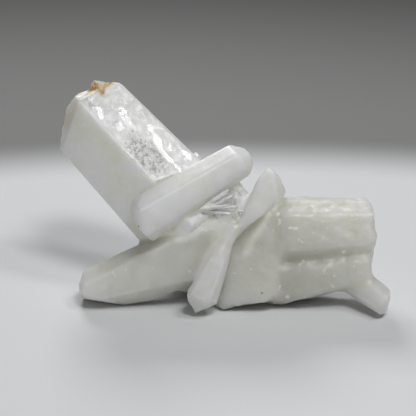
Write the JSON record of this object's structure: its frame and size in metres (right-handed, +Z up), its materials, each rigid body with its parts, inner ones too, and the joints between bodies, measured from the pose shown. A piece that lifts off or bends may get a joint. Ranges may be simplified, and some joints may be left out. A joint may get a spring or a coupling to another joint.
{
  "type": "quartz crystal cluster",
  "caption": "Cluster of milky quartz crystals grown through each other, with a thick broken main crystal leaning up and slimmer arms lying out to the sides.",
  "frame": {"origin": "on the ground, below the middle of the overall box", "axes": "+X from the great crystal's side towards the broken arm, +Y away from the best side, +Z up"},
  "size_m": [0.12, 0.069, 0.0756],
  "materials": {
    "quartz": "milky translucent quartz with satin faces and glassy breaks"
  },
  "bodies": {
    "root": {"quartz_cluster": "quartz"}
  },
  "joints": []
}
